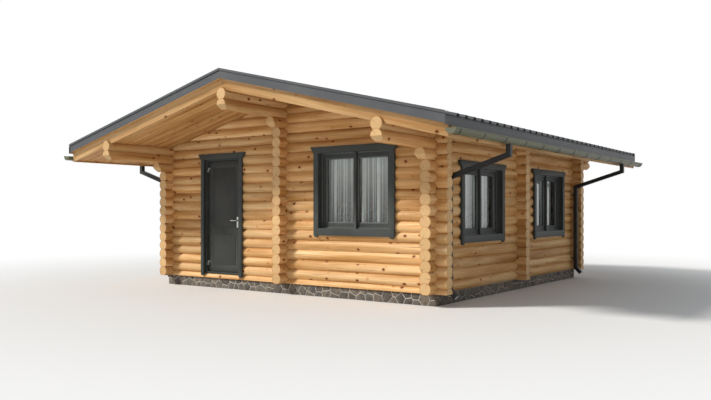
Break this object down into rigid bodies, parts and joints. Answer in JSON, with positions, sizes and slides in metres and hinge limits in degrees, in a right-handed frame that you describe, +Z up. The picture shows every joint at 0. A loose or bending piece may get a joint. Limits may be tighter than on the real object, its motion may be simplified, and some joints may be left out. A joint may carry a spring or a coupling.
{
  "type": "log cabin",
  "caption": "Square round-log cabin on a low stone plinth, with a shallow ribbed metal gable roof, deep front overhang, one hinged door and curtained windows",
  "frame": {"origin": "on the ground under the middle of the roof's outline", "axes": "Z up, ridge along Y, front wall with the door facing -Y, X to the right seen from the front"},
  "size_m": [7.8028, 8, 3.4315],
  "materials": {
    "flagstone": "rough split stone in light mortar",
    "floor_board": "clear varnish",
    "log": "honey wood stain, satin",
    "soffit_board": "honey wood stain, satin",
    "barge_wood": "honey wood stain, satin",
    "roof_metal": "dark grey, semi-matt",
    "gutter_metal": "grey-green, satin",
    "pipe_metal": "dark grey, satin",
    "trim_paint": "dark grey-green paint, satin",
    "frame_paint": "dark grey paint, satin",
    "door_paint": "dark grey paint, satin",
    "hinge_steel": "satin steel",
    "handle_steel": "satin steel",
    "pane": "clear glass",
    "curtain_cloth": "thin pale cloth"
  },
  "bodies": {
    "cabin": {"plinth": "flagstone", "floor": "floor_board", "front_sill_log": "log", "front_wall_left": "log", "front_wall_right": "log", "front_gable": "log", "rear_wall": "log", "rear_gable": "log", "left_wall": "log", "right_wall": "log", "front_tie_logs": "log", "rear_tie_logs": "log", "left_tie_logs": "log", "right_tie_logs": "log", "left_plates": "log", "right_plates": "log", "ridge_purlins": "log", "left_roof_deck": "soffit_board", "right_roof_deck": "soffit_board", "left_roof_sheet": "roof_metal", "right_roof_sheet": "roof_metal", "ridge_cap": "roof_metal", "verge_flashings": "roof_metal", "barge_boards": "barge_wood", "eave_boards": "barge_wood", "eave_strips": "roof_metal", "left_gutter": "gutter_metal", "right_gutter": "gutter_metal", "gutter_brackets": "gutter_metal", "left_downpipes": "pipe_metal", "right_downpipes": "pipe_metal", "pipe_clips": "pipe_metal", "door_casing": "trim_paint", "door_frame": "frame_paint", "frame_hinges": "hinge_steel", "front_window_casing": "trim_paint", "front_window_frame": "frame_paint", "side_window_casings": "trim_paint", "side_window_frames": "frame_paint", "window_glass": "pane", "window_curtains": "curtain_cloth"},
    "door": {"door_leaf": "door_paint", "leaf_hinges": "hinge_steel", "door_plates": "handle_steel"},
    "lever": {"door_lever": "handle_steel"}
  },
  "joints": [
    {"name": "door_swing", "type": "hinge", "parent": "cabin", "child": "door", "pos_m": [-1.7786, -2.544, 1.2], "axis": [0, 0, -1], "range_deg": [0, 90]},
    {"name": "door_lever_turn", "type": "hinge", "parent": "door", "child": "lever", "pos_m": [-1.0654, -2.5125, 1.175], "axis": [0, -1, 0], "range_deg": [0, 40], "stiffness_Nm_per_rad": 2, "springref_deg": -11.46}
  ]
}
